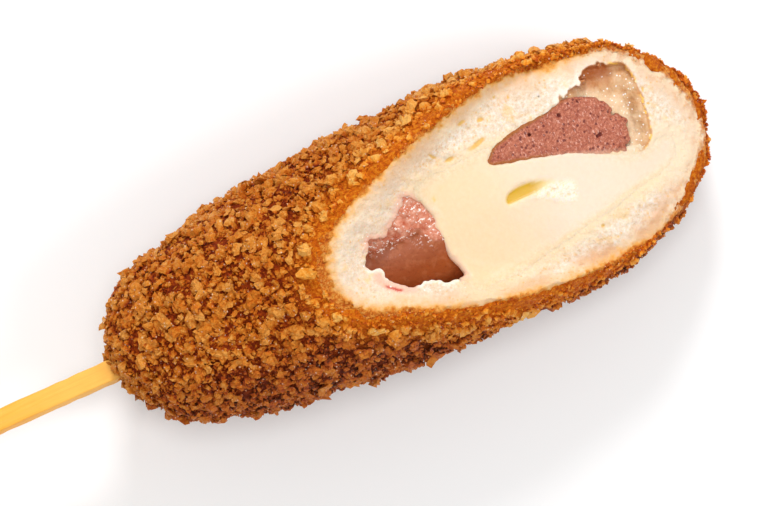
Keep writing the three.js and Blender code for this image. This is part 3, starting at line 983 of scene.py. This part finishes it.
def stick_finish(piece):
    s = Shades("stick_wood")
    grain = s.noise(0.5, 5, 0.6, 0.4, s.stretched((0.035, 1, 1)))
    streaks = s.noise(1.6, 3, 0.5, 0.2, s.stretched((0.02, 1, 1)))
    colour = s.tinted(
        s.ramp(grain, [(0.25, 0xF4A02E), (0.5, 0xFDB438), (0.75, 0xFDBC4C)]),
        (s.spread(streaks, 0.45, 0.7), 0.5, 0xFAAC3E),
        # Painted light near the body, against its shadow on the stick.
        ("painted_light_near_body", 0.6, 0xFCBE54),
    )
    s.finish(piece, Base_Color=colour, Roughness=0.6, Normal=s.bump(grain, 0.12))


# ---- crumbs

TOP_LIMIT = 25.8
SIDE_LIMIT = 28.1
GROUND_GAP = 0.15
LOWER_SIDE = -2
FRONT_END = (48, 60)

# Crumbs by the front of the bite lie further in and lower.
RING_INSET = 0.7
RING_DROP = 0.6

# The uncut body's outline, as places along it and its radius there, closer together at the ends.
PROFILE_TURN = np.linspace(0, np.pi, 400)
PROFILE_X = BACK_END_X + (FRONT_END_X - BACK_END_X) * (1 - np.cos(PROFILE_TURN)) / 2
PROFILE = np.stack([PROFILE_X, body_radius(PROFILE_X)], 1)

# Kinds of crumb: how many, least and most size, corners, rings, thickness, lean, how thick they
# lie at the bite's rim and seed.
CRUMBS = {
    "crust_flakes": (3700, (1.6, 4.0), 11, 2, 0.19, 0.8, 0.2, 101),
    "crust_crumbs": (10300, (0.9, 2.3), 9, 1, 0.28, 1.0, 0.5, 102),
    "crust_grit": (13400, (0.6, 1.4), 7, 1, 0.4, 1.2, 1.5, 103),
    "crust_dust": (15500, (0.35, 0.8), 5, 1, 0.6, 1.2, 2.6, 104),
}


def on_lower_side(x, y, z):
    """Whether a place on the skin is on the body's lower side, clear of the cut's rim."""
    return z < np.minimum(LOWER_SIDE, bite_height(x, y) - 1)


def crumb_density(x, y, z, near_rim, seed):
    """Share of the crumbs' places that are kept: in clumps, fewer below and none in the bite."""
    within = inside(BREAD, x, y)
    border = 0.4 * noise(x, y, z, 1.3, seed + 1) - 0.2
    band = near_rim + (1 - near_rim) * ease(within, -0.5, -5.0)
    band = band / max(near_rim, 1)
    under = (1 - 0.5 * ease(z, -14, -22)) * (0.6 + 0.4 * ease(x, *FRONT_END) * (z > -9))
    clumps = 0.66 + 0.34 * noise(x, y, z, 3.2, seed)
    lower = on_lower_side(x, y, z)
    shown = ((within < border) | lower) & (z > -AXIS_HEIGHT + 0.5)
    return np.where(lower, 1 / max(near_rim, 1), band) * under * clumps * shown


def skin_places(count, random, near_rim, seed):
    """Places for crumbs on the body's skin, no higher than the bite, and the way out at each."""
    step = np.diff(PROFILE, axis=0)
    lengths = np.hypot(*step.T)
    areas = lengths * (PROFILE[1:, 1] + PROFILE[:-1, 1])
    tries = 2 * count
    kept = []
    total = 0
    while total < count:
        strip = np.searchsorted(np.cumsum(areas) / areas.sum(), random.random(tries))
        share = random.random(tries)
        x, radius = (PROFILE[strip] + step[strip] * share[:, None]).T
        along = step[strip] / lengths[strip, None]
        angle = random.random(tries) * 2 * np.pi
        out = np.stack([-along[:, 1], along[:, 0] * np.cos(angle), along[:, 0] * np.sin(angle)], 1)
        place = np.stack([x, radius * np.cos(angle), radius * np.sin(angle)], 1)
        keep = random.random(tries) < crumb_density(*place.T, near_rim, seed)
        kept.append(np.concatenate([place[keep], out[keep]], 1))
        total += keep.sum()
    place, out = np.split(np.concatenate(kept)[:count], 2, axis=1)
    place[:, 2] = np.minimum(place[:, 2], bite_height(place[:, 0], place[:, 1]))
    return place, out


def crumb_sizes(place, lower, sizes, random):
    """A size for each crumb, most of them small, and smaller by the bite and at the front."""
    x, y, _ = place.T
    away = np.where(lower, 9, -inside(BREAD, x, y))
    size = sizes[0] + (sizes[1] - sizes[0]) * random.random(len(place)) ** 2.2
    return size * (0.6 + 0.4 * ease(away, 0.5, 5)) * (1 - 0.4 * ease(x, *FRONT_END))


def crumb_middles(place, out, lower, size, random):
    """The middle of each crumb, bedded in the crust."""
    x, y, z = place.T
    lift = skin_relief(x, y, z) - CRUMB_BED + size * (0.06 + 0.24 * random.random(len(place)))
    lift = lift - 0.3 * near_cut(x, y, z) * ease(x, 50, 40)
    ring = ease(x - FRONT_SLANT * y, *FRONT_END) * ~lower
    middle = place + out * (lift - RING_INSET * ring)[:, None]
    middle[:, 2] -= RING_DROP * ring
    return middle


def crumbs(name, count, sizes, corners, rings, thickness, tilt, near_rim, seed):
    """Many ragged crumbs on the skin, as one joined mesh."""
    random = np.random.default_rng(seed)
    place, out = skin_places(count, random, near_rim, seed)
    lower = on_lower_side(*place.T)
    size = crumb_sizes(place, lower, sizes, random)
    axes = leaning_axes(out, tilt * random.random(count) ** 1.2, random)
    local = flakes(size, thickness, corners, rings, random)
    middle = crumb_middles(place, out, lower, size, random)
    vertices = middle[:, None]
    for k, axis in enumerate(axes):
        vertices = vertices + local[..., k : k + 1] * axis[:, None]
    keep = (inside(BREAD, middle[:, 0], middle[:, 1]) < -0.1) | lower
    keep &= vertices[..., 2].max(1) < TOP_LIMIT
    keep &= np.abs(vertices[..., 1]).max(1) < SIDE_LIMIT
    vertices, place, out = vertices[keep], place[keep], out[keep]
    vertices[..., 2] = np.maximum(vertices[..., 2], -AXIS_HEIGHT + GROUND_GAP)
    number, each = vertices.shape[:2]
    template = flake_faces(corners, rings)
    faces = (template[None] + (np.arange(number) * each)[:, None, None]).reshape(-1, 3)
    masks = crumb_masks(vertices, place, out, random)
    piece = mesh_piece(name, vertices.reshape(-1, 3), faces, masks, smooth=False)
    cell_map(piece, number, len(template))
    return piece


def crumb_masks(vertices, place, out, random):
    """Where the crumbs' tones go: by chance, by painted shade that darkens them the deeper they sit in
    the bed, and by their places.
    """
    number, each = vertices.shape[:2]
    lift = ((vertices - place[:, None]) * out[:, None]).sum(-1)
    lift = lift - (skin_relief(*place.T) - CRUMB_BED)[:, None]
    return {
        # Painted shade: darker where a crumb sits low in the bed, lighter where it stands out.
        "shade": 0.36 * random.random((number, 1)) + 0.64 * ease(lift, -0.1, 0.9),
        "near": np.repeat(near_cut(*place.T), each),
        "low": np.repeat(underside_browning_and_shade(place[:, 1], place[:, 2]), each),
    }


def normalised(vectors):
    return vectors / np.linalg.norm(vectors, axis=-1, keepdims=True)


def leaning_axes(out, lean, random):
    """Two flat axes and an upright for each crumb, leaning from the way out in any direction."""
    side = normalised(np.cross(out, normalised(random.normal(size=out.shape))))
    up = out * np.cos(lean)[:, None] + np.cross(side, out) * np.sin(lean)[:, None]
    turn = random.random(len(out)) * 2 * np.pi
    first = side * np.cos(turn)[:, None] + np.cross(up, side) * np.sin(turn)[:, None]
    return first, np.cross(up, first), up


def flakes(size, thickness, corners, rings, random):
    """Vertices of crumpled flakes of those sizes: a root, a ragged outline of corners, with two
    rings a second one on its top, and a peak."""
    count = len(size)
    thick = size * thickness * (0.6 + 0.8 * random.random(count))
    step = 2 * np.pi / corners
    angle = np.arange(corners) * step + (random.random((count, corners)) - 0.5) * step * 0.8
    reach = 0.4 + 0.65 * random.random((count, corners))
    reach = 0.7 * reach + 0.15 * (np.roll(reach, 1, 1) + np.roll(reach, -1, 1))
    stretch = 1 + 0.6 * random.random(count)[:, None] ** 2
    x, y = reach * np.cos(angle) * stretch, reach * np.sin(angle)
    levels = [np.stack([x, y, 2.2 * (random.random((count, corners)) - 0.5)], -1)]
    if rings == 2:
        inner = 0.45 + 0.3 * random.random((count, corners))
        levels.append(np.stack([x * inner, y * inner, 0.2 + 1.4 * random.random((count, corners))], -1))
    root, peak = np.zeros((2, count, 1, 3))
    root[..., 2] = -0.9
    peak[:, 0, :2] = 0.3 * (random.random((count, 2)) - 0.5)
    peak[:, 0, 2] = 0.3 + 1.4 * random.random(count)
    local = np.concatenate([root, *levels, peak], 1)
    local[..., :2] *= size[:, None, None] / 2
    local[..., 2] *= thick[:, None]
    bend = (random.random(count) - 0.5) * 1.2 / size
    local[..., 2] += bend[:, None] * local[..., 0] ** 2
    return local


def flake_faces(corners, rings):
    """Triangles of one flake, by its vertices in the order of flakes."""
    j = np.arange(corners)
    k = (j + 1) % corners
    faces = [np.stack([0 * j, 1 + k, 1 + j], 1)]
    if rings == 2:
        faces.append(np.stack([1 + j, 1 + k, 1 + corners + k], 1))
        faces.append(np.stack([1 + j, 1 + corners + k, 1 + corners + j], 1))
    last = 1 + (rings - 1) * corners
    faces.append(np.stack([last + j, last + k, 0 * j + last + corners], 1))
    return np.concatenate(faces)


def cell_map(piece, count, faces_each):
    """A map for baked colours in which each crumb has one small square of its own."""
    layer = piece.data.uv_layers.new(name="OFBake")
    across = math.ceil(math.sqrt(count))
    number = np.repeat(np.arange(count), faces_each * 3)
    low = np.stack([number % across, number // across], 1)
    corner = np.tile([(0.2, 0.2), (0.8, 0.2), (0.5, 0.8)], (count * faces_each, 1))
    layer.data.foreach_set("uv", ((low + corner) / across).astype(np.float32).ravel())


def crumb_finish(pieces):
    s = Shades("crumbs")
    # Crumbs darker and duller towards the underside: partly browner crumbs, partly painted shade.
    low = s.times(s.mask("low"), s.spread(s.mask("near"), 0, 0.8, 1, 0.15))
    shade = s.plus(s.mask("shade"), s.times(s.minus(s.noise(0.8, 5, 0.7), 0.5), 1.5))
    shade = s.minus(shade, s.times(low, 0.39))
    # The ramp runs from painted shade deep among the crumbs to lighter raised tips.
    usual = s.ramp(shade, [
        (0.0, 0x460800), (0.2, 0x9E3200), (0.48, 0xCE680C), (0.76, 0xDD8626),
        (1.0, 0xEAA048),
    ])
    near = s.ramp(shade, [(0.0, 0xBE4600), (0.25, 0xE87808), (0.55, 0xFAA02A), (1.0, 0xFEC668)])
    glints = s.dots(1.0, 0.24, 0.1, 2.5, 0.46, 0.54)
    colour = s.tinted(
        usual, ("low", 0.2, 0xB47C4C), ("near", 1, near), (glints, 0.75, 0xFCDEC2),
    )
    bumps = s.bump(s.noise(0.5, 4, 0.7), 0.55)
    for piece in pieces:
        s.finish(piece, Base_Color=colour, Roughness=0.42, Specular_IOR_Level=0.2, Normal=bumps)


# ---- stage

PHOTO_WIDTH = 760
PHOTO_SCALE = 0.21
PHOTO_CENTRE = (-8.3, -1.1)
PHOTO_TURN = math.radians(24.1)
CAMERA_RISE = 1.2
SENSOR = 36
FLOOR_REACH = 4.0
FLOOR_WHITE = (0.97, 0.97, 0.97, 1)
SKY_STRENGTH = 0.54

# Soft lamps aimed at the corn dog: metres to the picture's right, towards its top and up, then
# the lamp's size and power.
LAMPS = {
    "key": (-0.1, 0.85, 0.75, 0.3, 5.6),
    "top": (0.0, 0.1, 1.5, 0.5, 5.5),
    "fill": (0.7, -0.1, 0.9, 0.4, 3.0),
}


def camera():
    data = bpy.data.cameras.new("camera")
    data.sensor_width = SENSOR
    data.lens = SENSOR * CAMERA_RISE / (PHOTO_WIDTH * PHOTO_SCALE * MM)
    viewer = placed("camera", data)
    viewer.location = (PHOTO_CENTRE[0] * MM, PHOTO_CENTRE[1] * MM, AXIS_HEIGHT * MM + CAMERA_RISE)
    viewer.rotation_euler = (0, 0, -PHOTO_TURN)
    bpy.context.scene.camera = viewer


def lamp(name, across, up, rise, size, power):
    data = bpy.data.lights.new(name, "AREA")
    data.shape = "DISK"
    data.size = size
    data.energy = power
    light = placed(name, data)
    c, s = math.cos(PHOTO_TURN), math.sin(PHOTO_TURN)
    place = np.array((across * c + up * s, -across * s + up * c, rise))
    light.location = place
    towards = -place / np.linalg.norm(place)
    light.rotation_euler = (math.acos(-towards[2]), 0, math.atan2(towards[1], towards[0]) - math.pi / 2)


def stage():
    mesh = bpy.data.meshes.new("floor")
    corners = [(x * FLOOR_REACH, y * FLOOR_REACH, 0) for x, y in ((-1, -1), (1, -1), (1, 1), (-1, 1))]
    mesh.from_pydata(corners, [], [(0, 1, 2, 3)])
    floor = placed("floor", mesh)
    Shades("floor").finish(floor, Base_Color=FLOOR_WHITE, Roughness=0.9)
    world = bpy.data.worlds.new("studio")
    world.use_nodes = True
    background = world.node_tree.nodes["Background"]
    background.inputs["Color"].default_value = (1, 1, 1, 1)
    background.inputs["Strength"].default_value = SKY_STRENGTH
    bpy.context.scene.world = world
    for name, placing in LAMPS.items():
        lamp(name, *placing)
    bpy.context.scene.view_settings.view_transform = "Standard"


camera()
stage()
crust()
dough()
cheese()
slice_of_sausage()
sausage()
stick()
crumb_finish([crumbs(name, *kind) for name, kind in CRUMBS.items()])
